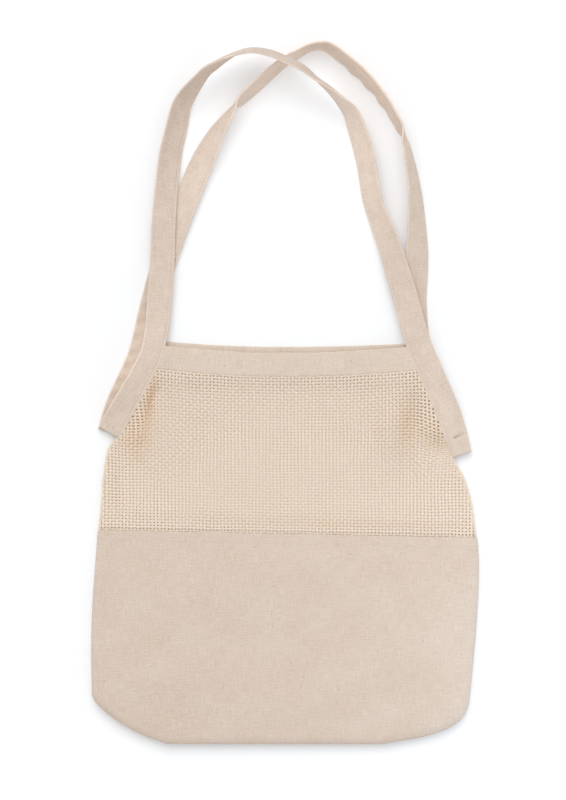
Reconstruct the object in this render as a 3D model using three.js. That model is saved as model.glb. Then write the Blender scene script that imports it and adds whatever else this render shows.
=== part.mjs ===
// A shoulder bag of unbleached cotton, lying on its back: canvas below, fine net above,
// a doubled band at each side of the mouth and two long straps that bind the sloping sides.
// Millimetres. X runs across the bag, Y from its bottom edge to the straps, Z up from the floor.
import * as THREE from 'three';

// Cloth
const CANVAS_THICK = 1.4;
const NET_THICK = 1.2;
const BAND_THICK = 1.8;
const STRAP_THICK = 2.2;
const STRAP_WIDTH = 25;
const STRAP_CUP = 2.2; // how far a strap cups where it stands on its edge
const GAP = 0.5; // left open between pieces that are sewn together
const STRAP_GAP = 1.4; // the same along a strap, whose edge leans
const TIP_GAP = 2.6; // the same below a strap's tip

// The pouch
const BOTTOM_Y = -350;
const SEAM_Y = -141; // where the net is sewn to the canvas, at the middle
const SEAM_TILT = 7.5; // how much lower that seam ends on the right
const SEAM_HEIGHT = 5; // side seams at the straps, above the floor
const EDGE_ROLL = 8; // how far in from a closed edge the cloth rolls over
const CROWN_REACH = 70; // how far in from a closed edge the front goes on rising
const ROLL_SHARE = 0.62; // part of that rise that is in the rolled edge
const MOUTH_REACH = { left: 14, right: 42 }; // how far in from each strap the mouth takes its own height
const MOUTH_BLEND = 100; // one reach passes into the other within this distance of the middle
const TIP_BLEND = 26; // above a strap's tip the rolled edge fades out over this length
const SWELL_FADE = 14; // dents and swells fade out this far from an edge
const SIDE_PUFF = 1.5; // where the front is sunk, it still stands this much above its closed sides
const PUFF_REACH = 10; // and falls away from them over this length
const LEAST_HEIGHT = 2.6; // the front lies on the back no lower than this above the floor

// Rows across the bag, each with its height at its left end, its middle and its right end
const BAND_LOW = { left: 24, mid: 16, right: 22.5 };
const FRONT_TOP = { left: 46.5, mid: 40.3, right: 45.5 };
const BACK_TOP = { left: 52, mid: 45.6, right: 48.8 };

// The left and right seams, from the bottom edge up to where the straps begin
const LEFT_SIDE = [
  { x: -118, y: -350, z: 9.5 },
  { x: -143, y: -340.5, z: 9.5 },
  { x: -165, y: -328.5, z: 9 },
  { x: -181, y: -316.5, z: 8.5 },
  { x: -191, y: -304.5, z: 8 },
  { x: -192.3, y: -290, z: 7.5 },
  { x: -192.3, y: -228, z: 6 },
  { x: -187.6, y: -156, z: 5 },
  { x: -183.3, y: -112, z: 5 },
  { x: -181.2, y: -84, z: 5 },
  { x: -178, y: -63, z: 5 },
  { x: -174.6, y: -53, z: 5 },
];
const RIGHT_SIDE = [
  { x: 98, y: -350, z: 9.5 },
  { x: 137.5, y: -343, z: 9.5 },
  { x: 162, y: -335, z: 9 },
  { x: 176, y: -325, z: 8.5 },
  { x: 182.3, y: -313, z: 8 },
  { x: 184.5, y: -298, z: 7.5 },
  { x: 190.8, y: -228, z: 6 },
  { x: 193, y: -170, z: 5 },
  { x: 189.3, y: -133, z: 5 },
  { x: 184.6, y: -104, z: 5 },
  { x: 178, y: -84, z: 5 },
  { x: 172.5, y: -75, z: 5 },
];

// Height of the front along the middle: full over the canvas, sunk over the net, a little open at the mouth
const CROWN = [
  { y: -350, z: 15 },
  { y: -290, z: 17 },
  { y: -220, z: 15.5 },
  { y: -168, z: 11.5 },
  { y: -141, z: 8.8 },
  { y: -122, z: 6.3 },
  { y: -108, z: 4.3 },
  { y: -92, z: 3.3 },
  { y: -62, z: 2.9 },
  { y: -20, z: 2.8 },
  { y: 4, z: 4.6 },
  { y: 16, z: 7.2 },
  { y: 30, z: 7.8 },
  { y: 46, z: 7.6 },
];

// Soft dents and swells of the front: middle, half lengths and height
const SWELLS = [
  { x: -146, y: -34, across: 8, along: 26, rise: 4 },
  { x: -130, y: -18, across: 7, along: 38, rise: -3 },
  { x: 107, y: -32, across: 17, along: 34, rise: 8 },
  { x: 130, y: -34, across: 9, along: 34, rise: -5 },
  { x: -167, y: -105, across: 6, along: 30, rise: -2 },
  { x: -60, y: -80, across: 55, along: 40, rise: 0.5 },
  { x: 60, y: -60, across: 40, along: 50, rise: 0.4 },
  { x: -176, y: -215, across: 9, along: 70, rise: -2.2 },
  { x: 150, y: -225, across: 35, along: 80, rise: 3 },
  { x: -40, y: -250, across: 60, along: 45, rise: -2 },
  { x: -120, y: -290, across: 35, along: 25, rise: 1.2 },
  { x: 20, y: -175, across: 70, along: 22, rise: 1.2 },
];

// Stations of each strap, from its left tip over the loop to its right tip: middle of the
// strap, its lowest point above the floor, its turn about its own run (positive with the
// outer edge up) and its width, which is drawn in only at the tips
const TIP_LEFT = { x: -175.8, y: -40, turn: 0, width: 23.5 };
const TIP_RIGHT = { x: 176.5, y: -62, turn: 0, width: 20.5 };
const FRONT_STATIONS = [
  { x: -163, y: -17.3, low: 5.4, turn: 19 },
  { x: -150.8, y: 4, low: 7.2, turn: 28 },
  { x: -140.5, y: 22.8, low: 8.2, turn: 30 },
  { x: -133, y: 39, low: 8.2, turn: 29 },
  { x: -128, y: 61.5, low: 7, turn: 22 },
  { x: -125.5, y: 87.5, low: 6, turn: 14 },
  { x: -122.5, y: 130, low: 5.8, turn: 12 },
  { x: -120.5, y: 177, low: 5.4, turn: 20 },
  { x: -115, y: 232, low: 2.2, turn: 29 },
  { x: -109, y: 261, low: 1.2, turn: 33 },
  { x: -101.5, y: 289, low: 3, turn: 45 },
  { x: -83, y: 314.2, low: 10, turn: 68 },
  { x: -70, y: 324.3, low: 14.5, turn: 78 },
  { x: -52, y: 333.6, low: 20, turn: 93 },
  { x: -34, y: 338.4, low: 23.5, turn: 103 },
  { x: -15, y: 335.6, low: 26, turn: 107 },
  { x: 3, y: 328.2, low: 27, turn: 108 },
  { x: 18, y: 320.4, low: 25, turn: 105 },
  { x: 30, y: 310.8, low: 20, turn: 95 },
  { x: 43.5, y: 301, low: 13.5, turn: 84 },
  { x: 56, y: 289.5, low: 8, turn: 72 },
  { x: 65.5, y: 278.5, low: 4, turn: 56 },
  { x: 72, y: 262, low: 1.5, turn: 46 },
  { x: 80.5, y: 231, low: 0.5, turn: 41 },
  { x: 87, y: 192, low: 0.5, turn: 42 },
  { x: 95, y: 170, low: 2, turn: 37 },
  { x: 105, y: 143.5, low: 5, turn: 26 },
  { x: 119, y: 98, low: 8, turn: 11 },
  { x: 132, y: 52, low: 9.5, turn: 2 },
  { x: 146, y: 19.5, low: 8.2, turn: -9 },
  { x: 161, y: -14.5, low: 6.4, turn: -12 },
  { x: 168.5, y: -36, low: 4.4, turn: -18 },
];
const BACK_STATIONS = [
  { x: -166.3, y: -11.5, low: 0.3, turn: -2 },
  { x: -148.2, y: 28, low: 0.3, turn: -2 },
  { x: -141.5, y: 48, low: 0.3, turn: -3 },
  { x: -128.5, y: 102.5, low: 0.3, turn: -4 },
  { x: -113.4, y: 153.5, low: 0.3, turn: -6 },
  { x: -92, y: 208, low: 0.3, turn: -14 },
  { x: -82, y: 231.5, low: 0.3, turn: -25 },
  { x: -69.5, y: 256, low: 0.3, turn: -48 },
  { x: -62, y: 268, low: 0.3, turn: -60 },
  { x: -51, y: 282.3, low: 0.8, turn: -76 },
  { x: -45, y: 289.3, low: 0.8, turn: -104 },
  { x: -31.5, y: 302.5, low: 0.8, turn: -112 },
  { x: -2, y: 328, low: 0.8, turn: -109 },
  { x: 13, y: 337, low: 0.8, turn: -105 },
  { x: 24, y: 343, low: 0.8, turn: -102 },
  { x: 35, y: 345, low: 0.8, turn: -104 },
  { x: 46, y: 342, low: 0.8, turn: -110 },
  { x: 73, y: 320.5, low: 0.8, turn: -114 },
  { x: 94.5, y: 297, low: 0.8, turn: -109 },
  { x: 111, y: 270.5, low: 0.8, turn: -106 },
  { x: 115, y: 262, low: 0.8, turn: -103 },
  { x: 119, y: 250, low: 0.8, turn: -75 },
  { x: 122.3, y: 239, low: 0.8, turn: -70 },
  { x: 129.5, y: 197, low: 0.3, turn: -57 },
  { x: 131.8, y: 144.5, low: 0.3, turn: -33 },
  { x: 130.8, y: 117.5, low: 0.3, turn: -20 },
  { x: 129.2, y: 87.5, low: 0.3, turn: -8 },
  { x: 135, y: 42.5, low: 0.3, turn: -2 },
  { x: 158, y: -12.5, low: 0.3, turn: -2 },
  { x: 168.5, y: -37, low: 0.3, turn: -2 },
];

// Fineness of the walls
const ROLL_STEPS = [0, 0.08, 0.28, 0.58, 1]; // where a rolled edge is divided
const STRAP_STEPS = 84;
const STRAP_STRIPS = 4;
const EDGE_SAMPLES = 240; // points along a strap's inner edge, where the panels are sewn on
const SIDE_SAMPLES = 40;
const LEG_SHARE = 0.16; // part of a strap's run, at each end, that binds the bag
const PANEL_WIDTH = 380; // taken when a panel's rolled edges are divided
const NORMAL_INSET = 0.0012; // how far inside an edge a wall's direction is read, as a share
const NORMAL_STEP = 0.0004;

const COTTON = { canvas: 0xdbcabc, net: 0xe3d2c0, band: 0xddcdbe, strap: 0xdac8b8 };

const { clamp, lerp, smoothstep, degToRad } = THREE.MathUtils;

// Straps

// The run of a strap: its middle line, its turn and its width at any share of its length
function strapRun(stations, tipHeight) {
  const tipRow = (tip) => ({ ...tip, low: tipHeight - STRAP_THICK / 2 });
  const rows = [tipRow(TIP_LEFT), ...stations, tipRow(TIP_RIGHT)].map((row) => {
    const width = row.width ?? STRAP_WIDTH;
    const turn = degToRad(row.turn);
    const rise = (width * Math.abs(Math.sin(turn)) + STRAP_THICK * Math.abs(Math.cos(turn))) / 2;
    return { x: row.x, y: row.y, z: row.low + rise, turn, width };
  });
  const curve = (points) => new THREE.CatmullRomCurve3(points, false, 'catmullrom');
  const middle = curve(rows.map((row) => new THREE.Vector3(row.x, row.y, row.z)));
  const finish = curve(rows.map((row) => new THREE.Vector3(row.turn, row.width, 0)));
  return { middle, finish };
}

// A point of the strap's middle surface: across runs from its inner to its outer edge. The more
// the strap stands on its edge, the more its middle is cupped, away from the side it is turned to.
function strapPoint(run, across, along) {
  const centre = run.middle.getPoint(along);
  const tangent = run.middle.getTangent(along);
  const { x: turn, y: width } = run.finish.getPoint(along);
  const outward = new THREE.Vector3(-tangent.y, tangent.x, 0).normalize();
  const upward = new THREE.Vector3().crossVectors(tangent, outward);
  const [c, s] = [Math.cos(turn), Math.sin(turn)];
  const side = outward.clone().multiplyScalar(c).addScaledVector(upward, s);
  const face = upward.multiplyScalar(c).addScaledVector(outward, -s);
  const cup = -STRAP_CUP * s * Math.abs(s) * (1 - (2 * across - 1) ** 2);
  return centre.addScaledVector(side, (across - 0.5) * width).addScaledVector(face, cup);
}

// Points along the inner edge of one of the strap's two legs, from its tip upwards
function legEdge(run, fromLeft) {
  const points = [];
  for (let i = 0; i <= EDGE_SAMPLES; i += 1) {
    const along = (LEG_SHARE * i) / EDGE_SAMPLES;
    points.push(strapPoint(run, 0, fromLeft ? along : 1 - along));
  }
  return points;
}

// The pouch

// One whole side of a panel: the open side seam, then the strap's inner edge
function panelSide(sideRows, strapEdge, inward, lift) {
  const tip = strapEdge[0];
  const seamEnd = { x: tip.x + inward * STRAP_GAP, y: tip.y - TIP_GAP, z: SEAM_HEIGHT };
  const sidePoints = [...sideRows, seamEnd].map((row) => new THREE.Vector3(row.x, row.y, row.z + lift));
  const seam = new THREE.CatmullRomCurve3(sidePoints).getPoints(SIDE_SAMPLES);
  const sewn = strapEdge.slice(1).map((p) => new THREE.Vector3(p.x + inward * STRAP_GAP, p.y, p.z));
  const points = [...seam, ...sewn.filter((p) => p.y > seamEnd.y)];
  return { points, tipY: seamEnd.y };
}

// The point of a side at a given height along the bag
function sideAt(side, y) {
  const { points } = side;
  let i = 1;
  while (i < points.length - 1 && points[i].y < y) {
    i += 1;
  }
  const share = clamp((y - points[i - 1].y) / (points[i].y - points[i - 1].y), 0, 1);
  return new THREE.Vector3().lerpVectors(points[i - 1], points[i], share);
}

// Distance to the nearest closed edge: the two sides and the bottom
function edgeDistance(sides, x, y) {
  const place = new THREE.Vector3(x, y, 0);
  const nearest = new THREE.Vector3();
  let distance = Math.abs(y - BOTTOM_Y);
  for (const { points } of sides) {
    for (let i = 1; i < points.length; i += 1) {
      const start = points[i - 1].clone().setZ(0);
      const end = points[i].clone().setZ(0);
      new THREE.Line3(start, end).closestPointToPoint(place, true, nearest);
      distance = Math.min(distance, nearest.distanceTo(place));
    }
  }
  return distance;
}

// A quarter round that climbs from 0 at the edge to 1 at the given reach
function roll(distance, reach) {
  const share = clamp(distance / reach, 0, 1);
  return Math.sqrt(1 - (1 - share) ** 2);
}

function crownHeight(y) {
  let i = 1;
  while (i < CROWN.length - 1 && CROWN[i].y < y) {
    i += 1;
  }
  const share = clamp((y - CROWN[i - 1].y) / (CROWN[i].y - CROWN[i - 1].y), 0, 1);
  return lerp(CROWN[i - 1].z, CROWN[i].z, share);
}

function swellHeight(x, y) {
  let z = 0;
  for (const swell of SWELLS) {
    const away = ((x - swell.x) / swell.across) ** 2 + ((y - swell.y) / swell.along) ** 2;
    z += swell.rise * Math.exp(-away);
  }
  return z;
}

// Rows across the bag at a share of its width, 0 at the left
const bottomRow = () => BOTTOM_Y;
const seamRow = (shift) => (share) => SEAM_Y - SEAM_TILT * (share - 0.5) + shift;
const bowedRow = (row, shift) => (share) => {
  const end = share < 0.5 ? row.left : row.right;
  return lerp(row.mid, end, (2 * share - 1) ** 2) + shift;
};

// The middle surface of a panel between two rows
function panelSurface(sides, lowRow, highRow, height) {
  const [left, right] = sides;
  return (across, along) => {
    const y = lerp(lowRow(across), highRow(across), along);
    const leftEdge = sideAt(left, y);
    const rightEdge = sideAt(right, y);
    const x = lerp(leftEdge.x, rightEdge.x, across);
    const rim = lerp(leftEdge.z, rightEdge.z, across);
    const tipY = lerp(left.tipY, right.tipY, across);
    const open = smoothstep(y, tipY, tipY + TIP_BLEND);
    return new THREE.Vector3(x, y, height(x, y, rim, edgeDistance(sides, x, y), open));
  };
}

function frontHeight(x, y, rim, distance, open) {
  const closed = ROLL_SHARE * roll(distance, EDGE_ROLL) + (1 - ROLL_SHARE) * roll(distance, CROWN_REACH);
  const reach = lerp(MOUTH_REACH.left, MOUTH_REACH.right, smoothstep(x, -MOUTH_BLEND, MOUTH_BLEND));
  const share = lerp(closed, smoothstep(distance, 0, reach), open);
  const crown = crownHeight(y);
  const puff = Math.max(0, rim + SIDE_PUFF - crown) * Math.exp(-distance / PUFF_REACH) * (1 - open);
  const swell = swellHeight(x, y) * smoothstep(distance, 0, SWELL_FADE);
  return Math.max(LEAST_HEIGHT, lerp(rim, crown + puff, share) + swell);
}

const backHeight = (thickness) => (x, y, rim, distance, open) => {
  const share = lerp(roll(distance, EDGE_ROLL), smoothstep(distance, 0, EDGE_ROLL), open);
  return lerp(rim, thickness / 2, share);
};

// Walls

// Shares at which a length is divided: fine in a rolled edge, even elsewhere
function divisions(length, count, rolledStart, rolledEnd) {
  const rolled = ROLL_STEPS.map((step) => (step * EDGE_ROLL) / length);
  const first = rolledStart ? rolled : [0];
  const last = rolledEnd ? rolled.map((share) => 1 - share).reverse() : [1];
  const from = first.at(-1);
  const to = last[0];
  const even = Array.from({ length: count - 1 }, (_, i) => lerp(from, to, (i + 1) / count));
  return [...first, ...even, ...last];
}

// The upward direction of a surface, read just inside its edges
function surfaceNormal(surface, across, along) {
  const u = clamp(across, NORMAL_INSET, 1 - NORMAL_INSET);
  const v = clamp(along, NORMAL_INSET, 1 - NORMAL_INSET);
  const runAcross = surface(u + NORMAL_STEP, v).sub(surface(u - NORMAL_STEP, v));
  const runAlong = surface(u, v + NORMAL_STEP).sub(surface(u, v - NORMAL_STEP));
  return runAcross.cross(runAlong).normalize();
}

// A closed wall of even thickness about a middle surface
function wall(surface, acrossShares, alongShares, thickness) {
  const columns = acrossShares.length;
  const rows = alongShares.length;
  const half = columns * rows;
  const positions = new Float32Array(half * 6);
  alongShares.forEach((along, row) => {
    acrossShares.forEach((across, column) => {
      const point = surface(across, along);
      const offset = surfaceNormal(surface, across, along).multiplyScalar(thickness / 2);
      const index = row * columns + column;
      point.clone().add(offset).toArray(positions, index * 3);
      point.clone().sub(offset).toArray(positions, (half + index) * 3);
    });
  });
  const triangles = [];
  const quad = (a, b, c, d) => triangles.push(a, b, c, a, c, d);
  const upper = (column, row) => row * columns + column;
  const lower = (column, row) => half + upper(column, row);
  for (let row = 0; row < rows - 1; row += 1) {
    for (let column = 0; column < columns - 1; column += 1) {
      quad(upper(column, row), upper(column + 1, row), upper(column + 1, row + 1), upper(column, row + 1));
      quad(lower(column, row), lower(column, row + 1), lower(column + 1, row + 1), lower(column + 1, row));
    }
  }
  const [endColumn, endRow] = [columns - 1, rows - 1];
  for (let column = 0; column < endColumn; column += 1) {
    quad(upper(column, 0), lower(column, 0), lower(column + 1, 0), upper(column + 1, 0));
    quad(upper(column + 1, endRow), lower(column + 1, endRow), lower(column, endRow), upper(column, endRow));
  }
  for (let row = 0; row < endRow; row += 1) {
    quad(upper(0, row + 1), lower(0, row + 1), lower(0, row), upper(0, row));
    quad(upper(endColumn, row), lower(endColumn, row), lower(endColumn, row + 1), upper(endColumn, row + 1));
  }
  const geometry = new THREE.BufferGeometry();
  geometry.setAttribute('position', new THREE.BufferAttribute(positions, 3));
  geometry.setIndex(triangles);
  geometry.computeVertexNormals();
  return geometry;
}

// The bag

const bag = new THREE.Group();

function addPiece(name, geometry, color) {
  const material = new THREE.MeshStandardMaterial({ color, roughness: 0.95, metalness: 0 });
  const mesh = new THREE.Mesh(geometry, material);
  mesh.name = name;
  bag.add(mesh);
}

// A strap is laid with its outer edge first, so that its wall's upper face is the one that shows
function addStrap(name, run) {
  const surface = (across, along) => strapPoint(run, 1 - across, along);
  const acrossShares = divisions(STRAP_WIDTH, STRAP_STRIPS, false, false);
  const alongShares = divisions(1, STRAP_STEPS, false, false);
  addPiece(name, wall(surface, acrossShares, alongShares, STRAP_THICK), COTTON.strap);
}

// The canvas, net and band of one half of the pouch
function addHalf(half, sides, topRow, heightFor, columns) {
  const across = divisions(PANEL_WIDTH, columns.across, true, true);
  const add = (name, lowRow, highRow, thickness, alongShares, color) => {
    const surface = panelSurface(sides, lowRow, highRow, heightFor(thickness));
    addPiece(`${name}_${half}`, wall(surface, across, alongShares, thickness), color);
  };
  const canvasLength = SEAM_Y - BOTTOM_Y;
  const canvasRows = divisions(canvasLength, columns.canvas, true, false);
  const netRows = divisions(1, columns.net, false, false);
  const bandRows = divisions(1, columns.band, false, false);
  add('canvas', bottomRow, seamRow(-GAP / 2), CANVAS_THICK, canvasRows, COTTON.canvas);
  add('net', seamRow(GAP / 2), bowedRow(BAND_LOW, -GAP / 2), NET_THICK, netRows, COTTON.net);
  add('band', bowedRow(BAND_LOW, GAP / 2), bowedRow(topRow, 0), BAND_THICK, bandRows, COTTON.band);
}

const frontTip = SEAM_HEIGHT + (STRAP_THICK + GAP) / 2;
const backTip = SEAM_HEIGHT - (STRAP_THICK + GAP) / 2;
const frontStrap = strapRun(FRONT_STATIONS, frontTip);
const backStrap = strapRun(BACK_STATIONS, backTip);
const frontSides = [
  panelSide(LEFT_SIDE, legEdge(frontStrap, true), 1, GAP),
  panelSide(RIGHT_SIDE, legEdge(frontStrap, false), -1, GAP),
];
const backSides = [
  panelSide(LEFT_SIDE, legEdge(backStrap, true), 1, -GAP),
  panelSide(RIGHT_SIDE, legEdge(backStrap, false), -1, -GAP),
];

addHalf('front', frontSides, FRONT_TOP, () => frontHeight, { across: 26, canvas: 13, net: 16, band: 2 });
addHalf('back', backSides, BACK_TOP, backHeight, { across: 12, canvas: 8, net: 16, band: 2 });
addStrap('strap_front', frontStrap);
addStrap('strap_back', backStrap);

export default bag;
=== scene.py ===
import bpy
import numpy as np
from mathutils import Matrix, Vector


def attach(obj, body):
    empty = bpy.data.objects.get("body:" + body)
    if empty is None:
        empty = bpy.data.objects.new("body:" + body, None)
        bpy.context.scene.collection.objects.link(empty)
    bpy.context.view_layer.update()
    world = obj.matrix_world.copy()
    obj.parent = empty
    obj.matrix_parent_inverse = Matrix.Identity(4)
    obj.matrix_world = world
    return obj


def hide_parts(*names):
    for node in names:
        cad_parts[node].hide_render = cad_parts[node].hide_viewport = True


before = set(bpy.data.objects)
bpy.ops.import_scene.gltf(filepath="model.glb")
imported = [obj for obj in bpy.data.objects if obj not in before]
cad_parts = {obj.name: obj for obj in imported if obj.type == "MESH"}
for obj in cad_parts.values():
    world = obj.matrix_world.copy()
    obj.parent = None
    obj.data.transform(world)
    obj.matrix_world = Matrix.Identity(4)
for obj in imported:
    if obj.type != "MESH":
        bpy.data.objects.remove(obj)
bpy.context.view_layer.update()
metre = 0.001  # sizes below are millimetres, and reach a mesh through this


# Small helpers on whole arrays

# Each row divided by its length
def unit(v):
    return v / np.linalg.norm(v, axis=-1, keepdims=True)


# From a at share 0 to b at share 1: a + (b - a) share
def mix(a, b, share):
    return a + (b - a) * share


# 0 before low, 1 after high, an S between them: 3t^2 - 2t^3
def ease(value, low, high):
    t = np.clip((value - low) / (high - low), 0, 1)
    return t * t * (3 - 2 * t)


# 1 between low and high, fading to 0 inside its ends
def within(value, low, high, fade=25):
    return ease(value, low, low + fade) - ease(value, high - fade, high)


# Hill of height 1 about the middle: exp(-(distance / reach)^2)
def hill(distance, reach):
    return np.exp(-((distance / reach) ** 2))


# Cubic through rows, t counted in rows: the slope at a row is half the step between its neighbours
def throughRows(rows, t):
    rows = np.asarray(rows, float)
    padded = np.vstack([2 * rows[0] - rows[1], rows, 2 * rows[-1] - rows[-2]])
    i = np.clip(np.floor(t).astype(int), 0, len(rows) - 2)
    f = (t - i)[..., None]
    a, b, c, d = (padded[i + k] for k in range(4))
    return b + f / 2 * (c - a + f * (2 * a - 5 * b + 4 * c - d + f * (3 * (b - c) + d - a)))


# Smooth height by place: cubic pieces between rows (place, height) whose slopes are central differences
def smoothRows(rows, place):
    at, height = np.asarray(rows, float).T
    slope = np.gradient(height, at)
    i = np.clip(np.searchsorted(at, place) - 1, 0, len(at) - 2)
    step = at[i + 1] - at[i]
    t = np.clip((place - at[i]) / step, 0, 1)
    start = height[i] + t * step * slope[i] * (1 - t) ** 2
    ends = (height[i + 1] - height[i]) * t * t * (3 - 2 * t)
    return start + ends - step * slope[i + 1] * t * t * (1 - t)


# Gentle unevenness of cloth between -1 and 1: the mean of plane sine waves in seeded directions, whose
# lengths are seeded shares of size
def ripple(x, y, size, seed, waves=7, shares=(0.7, 1.5)):
    draw = np.random.default_rng(seed)
    angle = draw.uniform(0, 2 * np.pi, waves)
    pitch = size * draw.uniform(*shares, waves)
    shift = draw.uniform(0, 2 * np.pi, waves)
    run = x[..., None] * np.cos(angle) + y[..., None] * np.sin(angle)
    return np.sin(2 * np.pi * run / pitch + shift).sum(-1) / waves


# Meshes

# Closed bodies from rings [body, row, ring, 3]: quads between rows, and each end zipped across its ring.
# uv [body, row, ring + 1, 2] in millimetres repeats its first column, so that no texture runs backwards.
def ringMesh(name, rings, uv, material):
    bodies, rows, ring, _ = rings.shape
    corner = np.arange(bodies * rows * ring).reshape(bodies, rows, ring)
    beside = np.roll(corner, -1, axis=2)
    mark = np.arange(bodies * rows * (ring + 1)).reshape(bodies, rows, ring + 1)
    j = np.arange(ring // 2 - 1)
    zipped = np.stack([j, j + 1, ring - 2 - j, ring - 1 - j], -1)
    wall = np.stack([corner[:, :-1], beside[:, :-1], beside[:, 1:], corner[:, 1:]], -1)
    wallMark = np.stack([mark[:, :-1, :-1], mark[:, :-1, 1:], mark[:, 1:, 1:], mark[:, 1:, :-1]], -1)
    ends = [corner[:, 0][:, zipped[:, [1, 0, 3, 2]]], corner[:, -1][:, zipped]]
    endMarks = [mark[:, 0][:, zipped[:, [1, 0, 3, 2]]], mark[:, -1][:, zipped]]
    faces = np.concatenate([part.reshape(-1, 4) for part in [wall, *ends]])
    marks = np.concatenate([part.reshape(-1, 4) for part in [wallMark, *endMarks]])
    points = rings.reshape(-1, 3)
    a, b, c, d = (points[faces[:, k]] for k in range(4))
    if (a * np.cross(b, c) + a * np.cross(c, d)).sum() < 0:  # inside out, so turned
        faces, marks = faces[:, ::-1], marks[:, ::-1]
    mesh = bpy.data.meshes.new(name)
    mesh.vertices.add(len(points))
    mesh.vertices.foreach_set("co", (points * metre).ravel())
    mesh.loops.add(faces.size)
    mesh.loops.foreach_set("vertex_index", faces.ravel())
    mesh.polygons.add(len(faces))
    mesh.polygons.foreach_set("loop_start", np.arange(len(faces)) * 4)
    mesh.polygons.foreach_set("use_smooth", np.ones(len(faces), bool))
    weave = mesh.uv_layers.new(name="weave")
    weave.data.foreach_set("uv", (uv.reshape(-1, 2)[marks.ravel()] * metre).ravel())
    mesh.update(calc_edges=True)
    mesh.validate()
    mesh.materials.append(material)
    piece = bpy.data.objects.new(name, mesh)
    bpy.context.scene.collection.objects.link(piece)
    return piece


# Wall about a middle surface [row, column, 3]: up half the thickness along face, then back below it
def wallMesh(name, middle, face, half, uv, material):
    offset = face * half[..., None]
    rings = np.concatenate([middle + offset, (middle - offset)[:, ::-1]], 1)
    marks = np.concatenate([uv, uv[:, ::-1], uv[:, :1]], 1)
    return ringMesh(name, rings[None], marks[None], material)


# Direction out of a surface on a grid: the cross product of its steps across and along
def gridFace(middle):
    return unit(np.cross(np.gradient(middle, axis=1), np.gradient(middle, axis=0)))


# Yarns along paths [body, row, 3]: an ellipse carried along each, wide across the run and flat upwards
def yarnRings(paths, wide, flat, sides=6):
    run = unit(np.gradient(paths, axis=1))
    across = unit(np.cross(run, [0.0, 0.0, 1.0]))
    over = np.cross(across, run)
    turn = 2 * np.pi * (np.arange(sides) + 0.5) / sides
    ellipse = across[:, :, None] * (wide * np.cos(turn))[:, None]
    ellipse = ellipse + over[:, :, None] * (flat * np.sin(turn))[:, None]
    return paths[:, :, None] + ellipse


# uv of yarns: once round in one unit across, millimetres along
def yarnMarks(paths, sides=6):
    step = np.linalg.norm(np.diff(paths, axis=1), axis=2)
    along = np.concatenate([np.zeros((len(paths), 1)), np.cumsum(step, axis=1)], 1)
    around = np.linspace(0, 1, sides + 1)
    return np.stack(np.broadcast_arrays(around, along[:, :, None]), -1)


# Stitches lying on cloth at places [n, 3]: short yarns with t from -1 to 1 along them, whose radius falls as
# sqrt(blunt - t^4) and whose ends dip into the cloth by sink thick t^2
def stitchRings(place, run, face, length, thick, sides=6, rows=5, sink=0.45, blunt=1.02):
    t = np.linspace(-1, 1, rows)
    line = place[:, None] + run[:, None] * (t * length / 2)[:, None]
    line = line - face[:, None] * (thick * sink * t * t)[:, None]
    across = np.cross(run, face)
    turn = 2 * np.pi * np.arange(sides) / sides
    radius = thick / 2 * np.sqrt(blunt - t**4)
    ring = across[:, None] * np.cos(turn)[:, None] + face[:, None] * np.sin(turn)[:, None]
    return line[:, :, None] + ring[:, None] * radius[:, None, None]


# uv of stitches: once round in one unit across, two millimetres along, the same for each
def stitchMarks(count, sides=6, rows=5):
    around, along = np.linspace(0, 1, sides + 1), np.linspace(0, 2, rows)
    marks = np.stack(np.broadcast_arrays(around, along[:, None]), -1)
    return np.broadcast_to(marks, (count, rows, sides + 1, 2))


# Tells the frame that a piece belongs to the root body, and hides the imported solid that it stands for
def sewn(piece, node):
    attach(piece, "root")
    if node:
        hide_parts(node)


# Materials

# A new material with two short ways to add to it: make for any node, sums for a node of arithmetic
def nodeMaker(name):
    material = bpy.data.materials.new(name)
    material.use_nodes = True
    tree = material.node_tree
    tree.nodes.clear()

    def make(kind, inputs=None, **settings):
        made = tree.nodes.new("ShaderNode" + kind)
        for key, value in settings.items():
            setattr(made, key, value)
        for key, value in (inputs or {}).items():
            if isinstance(value, bpy.types.NodeSocket):
                tree.links.new(value, made.inputs[key])
            else:
                made.inputs[key].default_value = value
        return made

    def sums(operation, *values):
        return make("Math", dict(enumerate(values)), operation=operation).outputs[0]

    return material, make, sums
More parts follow.
